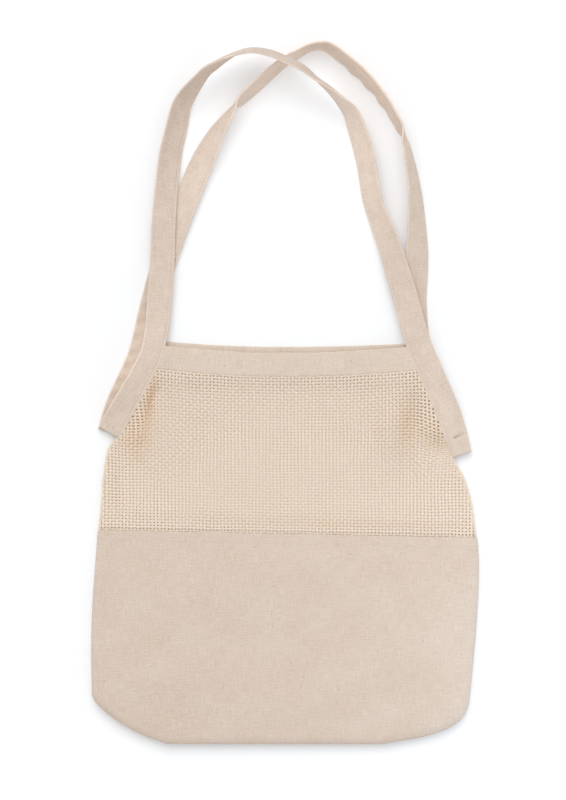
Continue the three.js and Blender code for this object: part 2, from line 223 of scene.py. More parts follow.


# Cotton cloth. Plain weave: round threads both ways, whose order changes where sin(x) sin(y) changes sign.
# Slubs are noise drawn out along each thread, flecks are small brown dots in a share of Voronoi cells. Paler
# patches are cooler. Along a strap, light and shade are painted into the tone by hills, rise
# exp(-((place - middle) / reach)^2), and a painted highlight runs along its folded edges.
def cottonCloth(name, look):
    material, make, sums = nodeMaker(name)
    uv = make("UVMap", uv_map="weave").outputs[0]
    split = make("SeparateXYZ", {0: uv})
    waveX = sums("SINE", sums("MULTIPLY", split.outputs[0], np.pi / look["thread"] / metre))
    waveY = sums("SINE", sums("MULTIPLY", split.outputs[1], np.pi / look["thread"] / metre))
    roundX, roundY = sums("ABSOLUTE", waveX), sums("ABSOLUTE", waveY)
    swop, wavy = look["swop"], look["wavy"]
    order = make("MapRange", {0: sums("MULTIPLY", waveX, waveY), 1: -swop, 2: swop})
    warp = sums("MULTIPLY", roundX, sums("MULTIPLY_ADD", roundY, wavy, 1 - wavy))
    weft = sums("MULTIPLY", roundY, sums("MULTIPLY_ADD", roundX, wavy, 1 - wavy))
    weave = make("Mix", {0: order.outputs[0], 2: weft, 3: warp}).outputs[0]

    def noise(sizeX, sizeY):
        scaled = make("Mapping", {0: uv, 3: tuple(1 / (s * metre) for s in (sizeX, sizeY, 1))})
        return make("TexNoise", {0: scaled.outputs[0], "Scale": 1.0, "Detail": 2.0}).outputs[0]

    slubX = noise(look["slubWide"], look["slubLong"])
    slubY = noise(look["slubLong"], look["slubWide"])
    slub = sums("ADD", slubX, slubY)  # about 1
    grain = noise(look["grainSize"], look["grainSize"])
    mottle = noise(*look["mottleSize"])
    scattered = make("Mapping", {0: uv, 3: (1 / (look["fleckGap"] * metre),) * 3}).outputs[0]
    cells = make("TexVoronoi", {0: scattered, "Scale": 1.0})
    pick = make("SeparateColor", {0: cells.outputs["Color"]})
    largest = look["fleckSize"] / look["fleckGap"]  # in cells
    size = make("MapRange", {0: pick.outputs[0], 1: 1 - look["fleckShare"], 2: 1.0, 3: 0.0, 4: largest})
    fleck = make("MapRange", {0: sums("SUBTRACT", size.outputs[0], cells.outputs["Distance"]), 1: 0.0,
                              2: look["fleckRim"] * largest, 3: 0.0, 4: look["fleckDepth"]})
    tone = sums("MULTIPLY_ADD", sums("SUBTRACT", slub, 1.0), look["slubTone"], 1.0)
    tone = sums("MULTIPLY_ADD", sums("SUBTRACT", grain, 0.5), look["grainTone"], tone)
    tone = sums("MULTIPLY_ADD", sums("SUBTRACT", weave, look["weaveMean"]), look["weaveTone"], tone)
    tone = sums("MULTIPLY_ADD", sums("SUBTRACT", mottle, 0.5), look["mottleTone"], tone)
    if look["paintedEdgeLight"]:  # painted highlight: a strap is paler near its folded edges
        inward = sums("PINGPONG", split.outputs[0], look["foldWidth"] / 2 * metre)
        near, far = (reach * metre for reach in look["edgeReach"])
        edgeHighlight = make("MapRange", {0: inward, 1: near, 2: far, 3: look["paintedEdgeLight"], 4: 0.0})
        tone = sums("ADD", tone, edgeHighlight.outputs[0])
    # painted light and shade: the tone rises or falls in hills along the strap
    for middle, reach, rise in look["wanderAndPaintedLight"]:
        far = sums("MULTIPLY_ADD", split.outputs[1], 1 / (reach * metre), -middle / reach)
        share = sums("EXPONENT", sums("MULTIPLY", sums("MULTIPLY", far, far), -1.0))
        tone = sums("MULTIPLY_ADD", share, rise, tone)
    tint = make("Mix", {0: mottle, 6: (*look["warm"], 1), 7: (*look["cool"], 1)}, data_type="RGBA").outputs[2]
    toned = make("VectorMath", {0: tint, "Scale": tone}, operation="SCALE").outputs[0]
    colour = make("Mix", {0: fleck.outputs[0], 6: toned, 7: (*look["fleck"], 1)}, data_type="RGBA").outputs[2]
    height = sums("MULTIPLY_ADD", sums("SUBTRACT", slub, 1.0), look["slubHigh"], weave)
    bump = make("Bump", {"Strength": look["bump"], "Distance": look["relief"] * metre, "Height": height})
    shader = make("BsdfPrincipled", {"Base Color": colour, "Roughness": 0.92, "Normal": bump.outputs[0],
                                     "Sheen Weight": look["sheen"], "Sheen Roughness": 0.6,
                                     "Specular IOR Level": 0.2})
    make("OutputMaterial", {0: shader.outputs[0]})
    return material


# Cotton yarn: ridges wind round it, sin(2 pi (plies times the share round it + along / lay)), and its tone
# wanders from place to place. Shade is painted into it in the net's folds and along its seam: the colour
# there is warmer and darker, by exp(-(distance / reach)^2) about each spot's middle. Some light goes through
# the loose yarn of a net.
def cottonYarn(name, look):
    material, make, sums = nodeMaker(name)
    uv = make("UVMap", uv_map="weave").outputs[0]
    split = make("SeparateXYZ", {0: uv})
    around = sums("MULTIPLY", split.outputs[0], 2 * np.pi * look["plies"] / metre)
    along = sums("MULTIPLY", split.outputs[1], 2 * np.pi / (look["lay"] * metre))
    twist = sums("SINE", sums("ADD", around, along))
    place = make("TexCoord").outputs["Object"]
    fuzz = make("TexNoise", {0: place, "Scale": 1 / (look["fuzzSize"] * metre), "Detail": 3.0}).outputs[0]
    wanderAndPaintedLight = make("TexNoise", {0: place, "Scale": 1 / (look["patch"] * metre), "Detail": 2.0}).outputs[0]
    tone = sums("MULTIPLY_ADD", twist, look["twistTone"], 1.0)
    tone = sums("MULTIPLY_ADD", sums("SUBTRACT", fuzz, 0.5), look["fuzzTone"], tone)
    tint = make("Mix", {0: wanderAndPaintedLight, 6: (*look["cool"], 1), 7: (*look["warm"], 1)}, data_type="RGBA").outputs[2]
    colour = make("VectorMath", {0: tint, "Scale": tone}, operation="SCALE").outputs[0]
    # painted shade: the colour is pulled towards the darker, warmer tint in each spot
    for x, y, halfWide, halfLong, turn, depth in look["paintedShadeSpots"]:
        spot = make("Mapping", {0: place, 1: (x * metre, y * metre, 0), 2: (0, 0, np.radians(turn)),
                                3: (halfWide * metre, halfLong * metre, 1)}, vector_type="TEXTURE").outputs[0]
        far = make("VectorMath", {0: spot, 1: spot}, operation="DOT_PRODUCT").outputs["Value"]
        share = sums("MULTIPLY", sums("EXPONENT", sums("MULTIPLY", far, -1.0)), depth)
        colour = make("Mix", {0: share, 6: colour, 7: (*look["paintedShadeTint"], 1)}, data_type="RGBA",
                      blend_type="MULTIPLY").outputs[2]
    height = sums("ADD", twist, fuzz)
    bump = make("Bump", {"Strength": 0.5, "Distance": look["relief"] * metre, "Height": height})
    shader = make("BsdfPrincipled", {"Base Color": colour, "Roughness": 0.9, "Normal": bump.outputs[0],
                                     "Subsurface Weight": look["through"],
                                     "Subsurface Radius": look["throughTint"],
                                     "Subsurface Scale": look["throughDeep"] * metre,
                                     "Sheen Weight": look["sheen"], "Sheen Roughness": 0.6,
                                     "Specular IOR Level": 0.2})
    make("OutputMaterial", {0: shader.outputs[0]})
    return material


# tones are shares of the tint, sizes and gaps are millimetres
clothLook = {
    "cool": (0.650, 0.551, 0.475), "warm": (0.662, 0.534, 0.432), "fleck": (0.30, 0.19, 0.12),
    "thread": 0.9, "swop": 0.2, "wavy": 0.4, "weaveMean": 0.55, "weaveTone": 0.10,
    "slubWide": 1.1, "slubLong": 12, "slubTone": 0.26, "slubHigh": 0.9,
    "grainSize": 1.4, "grainTone": 0.40, "mottleSize": (46, 38), "mottleTone": 0.10,
    "fleckGap": 6.0, "fleckShare": 0.5, "fleckSize": 0.85, "fleckRim": 0.35, "fleckDepth": 0.5,
    "bump": 0.5, "relief": 0.25, "sheen": 0.15, "paintedEdgeLight": 0.0, "wanderAndPaintedLight": [],  # these two are for straps
}
yarnLook = {
    "cool": (0.800, 0.681, 0.568), "warm": (0.815, 0.679, 0.550), "patch": 24,
    "plies": 2, "lay": 2.2, "twistTone": 0.05, "fuzzSize": 0.8, "fuzzTone": 0.14, "relief": 0.12,
    "sheen": 0.15, "through": 0.0, "throughTint": (1.0, 0.8, 0.6), "throughDeep": 1.2, "paintedShadeSpots": [],
}
netYarnAndPaintedShade = {
    "cool": (0.895, 0.730, 0.596), "warm": (0.910, 0.728, 0.578), "through": 0.3,
    "paintedShadeTint": (0.88, 0.75, 0.62),
    # painted shade in the net's folds and along its seam: x, y, half width, half length, turn, depth
    "paintedShadeSpots": [(-135, -8, 4.5, 27, -10, 0.8), (-148, -42, 15, 24, -10, 0.45), (121, -30, 9, 28, -6, 0.42),
              (153, -44, 9, 16, 20, 0.35), (70, -131, 120, 4.5, -1.5, 0.2)],
}
# doubled cloth, straps of four layers, the back net lit through the front one, the net's packed edges
bandTint = {"cool": (0.690, 0.585, 0.494), "warm": (0.703, 0.583, 0.480)}
strapTint = {"cool": (0.688, 0.576, 0.490), "warm": (0.702, 0.574, 0.476)}
yarnLit = {"cool": (0.970, 0.830, 0.620), "warm": (0.975, 0.825, 0.600)}
yarnPacked = {"cool": (0.790, 0.670, 0.550), "warm": (0.805, 0.668, 0.534)}
canvasCloth = cottonCloth("canvas_cotton", clothLook)
bandCloth = cottonCloth("band_cotton", {**clothLook, **bandTint, "thread": 0.8})
strapLook = {**clothLook, **strapTint, "thread": 0.8, "paintedEdgeLight": 0.10, "edgeReach": (0.4, 1.2),
             "foldWidth": 25, "mottleTone": 0.22, "mottleSize": (14, 20)}
# painted light and shade along a strap, as hills of tone: middle along the strap, reach, rise
strapPaintedLight = {"front": [(75, 45, 0.09), (310, 60, -0.08), (460, 55, -0.12)],
               "back": [(80, 60, 0.13), (490, 75, 0.13)]}
strapCloth = {name: cottonCloth("strap_cotton_" + name, {**strapLook, "wanderAndPaintedLight": wanderAndPaintedLight})
              for name, wanderAndPaintedLight in strapPaintedLight.items()}
netYarn = {"front": cottonYarn("net_yarn", {**yarnLook, **netYarnAndPaintedShade}),
           "back": cottonYarn("net_yarn_back", {**yarnLook, **netYarnAndPaintedShade, **yarnLit}),
           "edge": cottonYarn("net_yarn_edge", {**yarnLook, **yarnPacked})}
sewingThread = cottonYarn("sewing_thread", {**yarnLook, "lay": 0.8})
print("materials made")


# Straps

strap = {
    "width": 25, "thick": 2.2, "edgeRound": 1.2, "edgeLeast": 0.02, "puff": 0.2, "cup": 2.2,
    "unevenness": 0.35, "unevenSize": 34, "steps": 620, "fineSteps": 6000, "tipGap": 0.5,
    "stitchIn": 2.8, "stitchPitch": 3.3, "stitchLong": 2.6, "stitchThick": 0.5, "stitchLift": 0.08,
    "stitchDip": 0.55, "dipWide": 0.7, "bareEnd": 4,
    # a tuck across the front strap near its right tip, which grows shallow outwards
    "tuckFromEnd": 18.5, "tuckDeep": 3.2, "tuckWide": 1.2, "tuckStart": (7, 12), "tuckFade": (14, 23),
    "tuckLoss": 0.6,
    # a pleat from the tuck to the tip, and a notch where the two meet
    "pleatIn": 8.6, "pleatWide": 1.2, "pleatDeep": 0.9, "pleatStart": 3,
    "notchIn": 10.5, "notchWide": 2.2, "notchLong": 1.3, "notchDeep": 1.2, "notchPast": 0.6,
    # waves in the back strap's lower edge at the loop
    "waveFrom": 470, "waveTo": 570, "waveLong": 21, "waveHigh": 0.9, "waveAcross": (8, 25),
    # a wrinkled lip along the back strap's outer edge at the left leg
    "lipFrom": 10, "lipTo": 150, "lipHigh": 1.6, "lipAcross": (14, 26),
    "wrinkleLong": 16, "wrinkleHigh": 0.5, "wrinkleSlant": 0.5, "wrinkleAcross": (13, 19),
    # across the strap from its inner edge, closer at the edges and at the stitching
    "columns": [0, 0.12, 0.35, 0.7, 1.15, 1.7, 2.2, 2.5, 2.8, 3.1, 3.4, 3.9, 4.6, 5.8, 7.5, 10, 12.5,
                15, 17.5, 20, 21.8, 23, 23.85, 24.3, 24.65, 24.88, 25],
    "tipLeft": (-175.8, -40, 0, 23.5),  # x, y, turn, width
    "tipRight": (176.5, -62, 0, 20.5),
    # x, y, lowest point, turn
    "front": [
        (-163, -17.3, 5.4, 19), (-150.8, 4, 7.2, 28), (-140.5, 22.8, 8.2, 30), (-133, 39, 8.2, 29),
        (-128, 61.5, 7, 22), (-125.5, 87.5, 6, 14), (-122.5, 130, 5.8, 12), (-120.5, 177, 5.4, 20),
        (-115, 232, 2.2, 29), (-109, 261, 1.2, 33), (-101.5, 289, 3, 45), (-83, 314.2, 10, 68),
        (-70, 324.3, 14.5, 78), (-52, 333.6, 20, 93), (-34, 338.4, 23.5, 103), (-15, 335.6, 26, 107),
        (3, 328.2, 27, 108), (18, 320.4, 25, 105), (30, 310.8, 20, 95), (43.5, 301, 13.5, 84),
        (56, 289.5, 8, 72), (65.5, 278.5, 4, 56), (72, 262, 1.5, 46), (80.5, 231, 0.5, 41),
        (87, 192, 0.5, 42), (95, 170, 2, 37), (105, 143.5, 5, 26), (119, 98, 8, 11),
        (132, 52, 9.5, 2), (146, 19.5, 8.2, -9), (161, -14.5, 6.4, -12), (168.5, -36, 4.4, -18),
    ],
    "back": [
        (-166.3, -11.5, 0.3, -2), (-148.2, 28, 0.3, -2), (-141.5, 48, 0.3, -3), (-128.5, 102.5, 0.3, -4),
        (-113.4, 153.5, 0.3, -6), (-92, 208, 0.3, -14), (-82, 231.5, 0.3, -25), (-69.5, 256, 0.3, -48),
        (-62, 268, 0.3, -60), (-51, 282.3, 0.8, -76), (-45, 289.3, 0.8, -104), (-31.5, 302.5, 0.8, -112),
        (-2, 328, 0.8, -109), (13, 337, 0.8, -105), (24, 343, 0.8, -102), (35, 345, 0.8, -104),
        (46, 342, 0.8, -110), (73, 320.5, 0.8, -114), (94.5, 297, 0.8, -109), (111, 270.5, 0.8, -106),
        (115, 262, 0.8, -103), (119, 250, 0.8, -75), (122.3, 239, 0.8, -70), (129.5, 197, 0.3, -57),
        (131.8, 144.5, 0.3, -33), (130.8, 117.5, 0.3, -20), (129.2, 87.5, 0.3, -8), (135, 42.5, 0.3, -2),
        (158, -12.5, 0.3, -2), (168.5, -37, 0.3, -2),
    ],
}
seamHeight = 5  # of the side seams, between the tips of the two straps


# A strap's run at even steps of length. It tips about its run by turn, its lowest edge stands at low,
# so its middle is half of width |sin turn| + thick |cos turn| higher.
def strapRun(name, stations, tipHeight):
    tipLow = tipHeight - strap["thick"] / 2
    ends = [(tip[0], tip[1], tipLow, tip[2], tip[3]) for tip in (strap["tipLeft"], strap["tipRight"])]
    table = np.array([ends[0], *[(*row, strap["width"]) for row in stations], ends[1]], float)
    x, y, low, turn, width = table.T
    turn = np.radians(turn)
    z = low + (width * np.abs(np.sin(turn)) + strap["thick"] * np.abs(np.cos(turn))) / 2
    fine = np.linspace(0, len(table) - 1, strap["fineSteps"])
    line = throughRows(np.column_stack([x, y, z, turn, width]), fine)
    length = np.r_[0, np.cumsum(np.linalg.norm(np.diff(line[:, :3], axis=0), axis=1))]
    even = np.linspace(0, length[-1], strap["steps"])
    line = np.column_stack([np.interp(even, length, column) for column in line.T])
    run = unit(np.gradient(line[:, :3], axis=0))
    outward = unit(np.column_stack([-run[:, 1], run[:, 0], 0 * even]))
    upward = np.cross(run, outward)
    c, s = np.cos(line[:, 3:4]), np.sin(line[:, 3:4])
    return {"name": name, "length": even, "middle": line[:, :3], "run": run, "width": line[:, 4],
            "cup": -s * np.abs(s), "side": outward * c + upward * s, "face": upward * c - outward * s}


# Half the strap's thickness at a distance in from its inner edge: round edges, a little puff between them
# and a dip along the stitching
def strapHalf(inward):
    edge = np.minimum(inward, strap["width"] - inward) / strap["edgeRound"]
    edge = np.clip(edge, strap["edgeLeast"], 1)
    body = strap["thick"] / 2 + strap["puff"] * np.sin(np.pi * inward / strap["width"])
    dip = strap["stitchDip"] * hill(inward - strap["stitchIn"], strap["dipWide"])
    return body * np.sqrt(1 - (1 - edge) ** 2) - dip


# Points of the strap's middle surface. Where it stands on edge it cups: its face rises by cup (1 - t^2),
# t from -1 to 1 across; everywhere it is a little uneven. The tuck, pleat and notch are hills along and
# across it, waves and wrinkles are sines along it, the lip is an S across it.
def strapPoints(run, inward, seed):
    along = run["length"][:, None]
    shift = (inward - strap["width"] / 2) * run["width"][:, None] / strap["width"]
    t = 2 * inward / strap["width"] - 1
    rise = strap["cup"] * run["cup"] * (1 - t * t)
    uneven = ripple(along + 0 * inward, inward + 0 * along, strap["unevenSize"], seed)
    rise = rise + strap["unevenness"] * uneven
    if run["name"] == "front":
        before = along[-1] - along - strap["tuckFromEnd"]  # distance still to go to the tuck
        tuck = hill(before, strap["tuckWide"]) * ease(inward, *strap["tuckStart"])
        tuck = tuck * (1 - strap["tuckLoss"] * ease(inward, *strap["tuckFade"]))
        pleat = ease(-before, 0, strap["pleatStart"]) * hill(inward - strap["pleatIn"], strap["pleatWide"])
        notch = hill(before + strap["notchPast"], strap["notchLong"])
        notch = notch * hill(inward - strap["notchIn"], strap["notchWide"])
        rise = rise - strap["tuckDeep"] * tuck - strap["pleatDeep"] * pleat - strap["notchDeep"] * notch
    else:
        stretch = within(along, strap["waveFrom"], strap["waveTo"])
        wave = np.sin(2 * np.pi * along / strap["waveLong"]) * stretch
        rise = rise + strap["waveHigh"] * wave * ease(inward, *strap["waveAcross"])
        slanted = along + strap["wrinkleSlant"] * inward
        wrinkle = strap["wrinkleHigh"] * np.sin(2 * np.pi * slanted / strap["wrinkleLong"])
        lip = strap["lipHigh"] * ease(inward, *strap["lipAcross"]) ** 2
        lip = lip + wrinkle * ease(inward, *strap["wrinkleAcross"])
        rise = rise + lip * within(along, strap["lipFrom"], strap["lipTo"])
    sideways = run["side"][:, None] * shift[..., None]
    return run["middle"][:, None] + sideways + run["face"][:, None] * rise[..., None]


# The strap's wall over its run and its columns, with its stitches
def makeStrap(name, run, node, seed):
    inward = np.array(strap["columns"], float)[None, :]
    along = run["length"][:, None]
    middle = strapPoints(run, inward, seed)
    face = -gridFace(middle)
    half = np.broadcast_to(strapHalf(inward), middle.shape[:2])
    marks = np.stack(np.broadcast_arrays(inward, along), -1)
    piece = wallMesh(name, middle, face, half, marks, strapCloth[run["name"]])
    stitches = strapStitches(name + "_stitches", run, seed)
    sewn(stitches, None)
    sewn(piece, node)


# Stitches on both faces, one row along the inner edge
def strapStitches(name, run, seed):
    at = np.arange(strap["bareEnd"], run["length"][-1] - strap["bareEnd"], strap["stitchPitch"])
    row = strapPoints(run, np.array([[strap["stitchIn"]]]), seed)[:, 0]

    def sample(values):
        return np.column_stack([np.interp(at, run["length"], v) for v in values.T])

    place, ahead, face = sample(row), unit(sample(run["run"])), unit(sample(run["face"]))
    lift = strapHalf(np.array(strap["stitchIn"])) + strap["stitchLift"]
    rings = [stitchRings(place + sign * lift * face, ahead, sign * face, strap["stitchLong"],
                         strap["stitchThick"]) for sign in (1, -1)]
    return ringMesh(name, np.concatenate(rings), stitchMarks(2 * len(at)), sewingThread)


frontTip = seamHeight + (strap["thick"] + strap["tipGap"]) / 2
backTip = seamHeight - (strap["thick"] + strap["tipGap"]) / 2
frontRun = strapRun("front", strap["front"], frontTip)
backRun = strapRun("back", strap["back"], backTip)
makeStrap("front_strap", frontRun, "strap_front", seed=11)
makeStrap("back_strap", backRun, "strap_back", seed=12)
print("straps made")


# The pouch

pouch = {
    "bottom": -350, "seamY": -141, "seamTilt": 7.5,  # the net's seam runs down to the right by its tilt
    "sewnIn": 1.2, "legLength": 130, "seamSteps": 6, "legEvery": 2,  # sides along the straps
    # the front's roll at its sides is tight by rollShare and broad by the rest
    "edgeRoll": 8, "crownReach": 70, "rollShare": 0.62, "tipBlend": 26, "swellFade": 14,
    "mouthReach": (14, 42), "mouthBlend": 100,  # climb from the straps at the left and the right
    "sidePuff": 1.5, "puffReach": 10, "least": 2.6,  # least keeps the front above the back
    # x, y, z of the seams, from the bottom edge up to the straps
    "leftSide": [(-118, -350, 9.5), (-143, -340.5, 9.5), (-165, -328.5, 9), (-181, -316.5, 8.5),
                 (-191, -304.5, 8), (-192.3, -290, 7.5), (-192.3, -228, 6), (-187.6, -156, 5),
                 (-183.3, -112, 5), (-181.2, -84, 5), (-178, -63, 5), (-174.6, -53, 5)],
    "rightSide": [(98, -350, 9.5), (137.5, -343, 9.5), (162, -335, 9), (176, -325, 8.5), (182.3, -313, 8),
                  (184.5, -298, 7.5), (190.8, -228, 6), (193, -170, 5), (189.3, -133, 5), (184.6, -104, 5),
                  (178, -84, 5), (172.5, -75, 5)],
    # y, height of the front along its middle
    "crown": [(-350, 15), (-290, 17), (-220, 15.5), (-168, 11.5), (-141, 8.8), (-122, 6.3), (-108, 4.3),
              (-92, 3.3), (-62, 2.9), (-20, 2.8), (4, 4.6), (16, 7.2), (30, 7.8), (46, 7.6)],
    # x, y, half length across, half length along, rise
    "swells": [(-146, -34, 8, 26, 4), (-130, -18, 7, 38, -3), (107, -32, 17, 34, 8), (130, -34, 9, 34, -5),
               (-167, -105, 6, 30, -2), (-60, -80, 55, 40, 0.5), (60, -60, 40, 50, 0.4),
               (-176, -215, 9, 70, -2.2), (150, -225, 35, 80, 3), (-40, -250, 60, 45, -2),
               (-120, -290, 35, 25, 1.2), (20, -175, 70, 22, 1.2)],
}
bandLow = (24, 16, 22.5)  # y at the left end, the middle and the right end
frontTop = (46.5, 40.3, 45.5)
backTop = (52, 45.6, 48.8)


# y of the net's seam at a share across: straight and tilted
def seamRow(share):
    return pouch["seamY"] - pouch["seamTilt"] * (share - 0.5)


# y of an edge of the band at a share across: two half parabolas from the middle up to the ends
def bowedRow(ends, share):
    left, middle, right = ends
    return mix(middle, np.where(share < 0.5, left, right), (2 * share - 1) ** 2)


# One side as points x, y, z: the sewn seam, then a line just inside the strap's inner edge
def panelSide(rows, run, fromLeft):
    order = slice(None) if fromLeft else slice(None, None, -1)
    reach = run["length"] if fromLeft else run["length"][-1] - run["length"]
    inner = run["middle"] + run["side"] * (pouch["sewnIn"] - run["width"] / 2)[:, None]
    leg = inner[order][reach[order] < pouch["legLength"]]
    seam = np.array([*rows, leg[0]])
    seam = throughRows(seam, np.linspace(0, len(seam) - 1, pouch["seamSteps"] * len(seam)))
    return {"line": np.vstack([seam[:-1], leg[:: pouch["legEvery"]]]), "tipY": leg[0, 1]}


# x and z of a side at y, straight between its points
def sideAt(side, y):
    line = side["line"]
    return np.interp(y, line[:, 1], line[:, 0]), np.interp(y, line[:, 1], line[:, 2])


# Distance from each place to the nearest stretch of either side, or to the bottom edge
def edgeDistance(sides, x, y):
    place = np.stack([x, y], -1).reshape(-1, 1, 2)
    nearest = np.abs(y - pouch["bottom"]).ravel()
    for side in sides:
        start, step = side["line"][:-1, :2], np.diff(side["line"][:, :2], axis=0)
        share = np.clip(((place - start) * step).sum(-1) / (step**2).sum(-1), 0, 1)
        gap = place - start - share[..., None] * step
        nearest = np.minimum(nearest, np.sqrt((gap**2).sum(-1).min(1)))
    return nearest.reshape(x.shape)


# A quarter round, 0 at the edge and 1 at its reach
def roll(distance, reach):
    return np.sqrt(1 - (1 - np.clip(distance / reach, 0, 1)) ** 2)


# Dents and swells of the front: the sum of hills of elliptic plan
def swellHeight(x, y):
    return sum(rise * hill(np.hypot((x - atX) / across, (y - atY) / along), 1)
               for atX, atY, across, along, rise in pouch["swells"])


# Height of a half at places x, y. The front rolls up from its closed sides to the crown, and above the
# strap's tip it climbs from the strap's edge instead. Where the crown is sunk below the sides, a puff that
# fades as exp(-distance / reach) stands along them. The back rolls down to lie on the floor.
def halfHeight(half, x, y, lie):
    leftX, leftZ = sideAt(half["sides"][0], y)
    rightX, rightZ = sideAt(half["sides"][1], y)
    share = np.clip((x - leftX) / (rightX - leftX), 0, 1)
    rim = mix(leftZ, rightZ, share)
    tipY = mix(half["sides"][0]["tipY"], half["sides"][1]["tipY"], share)
    opening = ease(y, tipY, tipY + pouch["tipBlend"])
    distance = edgeDistance(half["sides"], x, y)
    if half["name"] == "back":
        rise = mix(roll(distance, pouch["edgeRoll"]), ease(distance, 0, pouch["edgeRoll"]), opening)
        return mix(rim, lie, rise)
    closed = mix(roll(distance, pouch["crownReach"]), roll(distance, pouch["edgeRoll"]), pouch["rollShare"])
    reach = mix(*pouch["mouthReach"], ease(x, -pouch["mouthBlend"], pouch["mouthBlend"]))
    rise = mix(closed, ease(distance, 0, reach), opening)
    swells = swellHeight(x, y) * ease(distance, 0, pouch["swellFade"])
    crown = smoothRows(pouch["crown"], y)
    sunk = np.maximum(0, rim + pouch["sidePuff"] - crown)
    puff = sunk * np.exp(-distance / pouch["puffReach"]) * (1 - opening)
    return np.maximum(pouch["least"], mix(rim, crown + puff, rise) + swells)


# A panel between two rows, shares across and along: [along, across, 3]
def panelPoints(half, across, along, lowRow, highRow, lie):
    across, along = np.meshgrid(across, along)
    y = mix(lowRow(across), highRow(across), along)
    leftX, _ = sideAt(half["sides"][0], y)
    rightX, _ = sideAt(half["sides"][1], y)
    x = mix(leftX, rightX, across)
    return np.stack([x, y, halfHeight(half, x, y, lie)], -1)


# Shares from 0 to 1 that lie closer together at both ends
def gathered(count, pull=0.55):
    t = np.linspace(0, 1, count)
    return mix(t, (1 - np.cos(np.pi * t)) / 2, pull)


halves = {
    "front": {"name": "front", "top": frontTop,
              "sides": [panelSide(pouch["leftSide"], frontRun, True),
                        panelSide(pouch["rightSide"], frontRun, False)]},
    "back": {"name": "back", "top": backTop,
             "sides": [panelSide(pouch["leftSide"], backRun, True),
                       panelSide(pouch["rightSide"], backRun, False)]},
}


# Canvas

canvas = {
    "thick": 1.4, "across": {"front": 250, "back": 150}, "along": {"front": 140, "back": 90},
    "flat": (0.388, 0.212), "edgeLeast": 0.03, "hem": 9, "hemLift": 0.3, "hemFade": 1.5,
    # size in the plane and seed of each kind of bump, which fade in from the panel's sides
    "unevenness": 0.5, "broad": (60, 21), "fineHigh": 0.25, "fine": (22, 22), "calmEdge": (2, 14),
    "pucker": 0.4, "puckers": (13, 23), "puckerReach": 11, "puckerSquash": 0.3,
}


# The panel with its unevenness, puckers that fade below the net's seam, and a hem that is a little thicker
def makeCanvas(half):
    across = gathered(canvas["across"][half["name"]])
    along = gathered(canvas["along"][half["name"]])
    lie = canvas["thick"] / 2
    middle = panelPoints(half, across, along, lambda s: pouch["bottom"] + 0 * s, seamRow, lie)
    face = gridFace(middle)
    x, y = middle[..., 0], middle[..., 1]
    below = seamRow(across)[None, :] - y
    if half["name"] == "front":  # the back lies flat on the floor
        bumps = canvas["unevenness"] * ripple(x, y, *canvas["broad"])
        bumps = bumps + canvas["fineHigh"] * ripple(x, y, *canvas["fine"])
        puckers = ripple(x, canvas["puckerSquash"] * y, *canvas["puckers"])
        bumps = bumps + canvas["pucker"] * np.exp(-below / canvas["puckerReach"]) * puckers
        bumps = bumps * ease(edgeDistance(half["sides"], x, y), *canvas["calmEdge"])
        middle = middle + face * bumps[..., None]
    edge = np.clip(below / (canvas["thick"] / 2), canvas["edgeLeast"], 1)
    hem = ease(-below, -canvas["hem"] - canvas["hemFade"], -canvas["hem"])
    thick = canvas["thick"] / 2 + canvas["hemLift"] * hem
    thick = thick * np.sqrt(1 - (1 - edge) ** 2)
    marks = np.stack([x, y], -1)
    name = half["name"] + "_canvas"
    piece = wallMesh(name, middle, face, thick, marks, canvasCloth)
    sewn(piece, "canvas_" + half["name"])


for half in halves.values():
    makeCanvas(half)
print("canvas made")


# Net

net = {
    "pitch": 3.5, "rows": 53, "warpWide": 1.33, "weftWide": 1.15, "flat": 0.42, "relief": 0.34,
    "size": (0.378, 0.160), "area": 0.057, "lie": 1.0, "dip": 1.3, "dipShare": 0.025,
    "columnStart": {"front": 1.0, "back": 2.75}, "rowStart": {"front": 0.0, "back": 0.5},  # rows in pitches
    "under": 4, "underBand": 2.5, "shortest": 8, "seamSlack": 5, "rowEnds": (0.006, 0.994),
    "selvedge": 2, "selvedgeStep": 1.0, "selvedgeWide": 0.6, "selvedgeIn": 0.2,
    # where the straps drag the front net along: x, y, half length across and along, shift in x and y
    "drags": [(154, -34, 17, 30, 4.2, -10.5), (-157, -25, 14, 30, -1, -3), (-146, -20, 8, 34, 3.5, 0)],
    "dragFade": 12,  # shifts fade out at the left strap
    # the back net rises up to follow under a high front, but not at the seam and the band
    "nearest": 1.7, "follow": 2.5, "followStart": 0.04, "followEnd": 0.9,
    # yarns wander a little from their straight lines
    "waver": 0.8, "waverSize": 42, "waverFade": 14, "waverSeeds": {"front": (41, 42), "back": (43, 44)},
}


# Places of a net's yarns: they waver in the plane by ripples that fade out at the sides, and the straps have
# dragged the front net by shifts that fade like hills about their middles
def dragged(half, x, y):
    free = net["waver"] * ease(edgeDistance(half["sides"], x, y), 0, net["waverFade"])
    wavers = [free * ripple(x, y, net["waverSize"], seed) for seed in net["waverSeeds"][half["name"]]]
    x, y = x + wavers[0], y + wavers[1]
    if half["name"] == "back":
        return x, y
    pulls = [(hill(np.hypot((x - atX) / across, (y - atY) / along), 1), shiftX, shiftY)
             for atX, atY, across, along, shiftX, shiftY in net["drags"]]
    loose = np.where(x < 0, ease(edgeDistance(half["sides"], x, y), 0, net["dragFade"]), 1)
    return x + loose * sum(p * sx for p, sx, _ in pulls), y + sum(p * sy for p, _, sy in pulls)


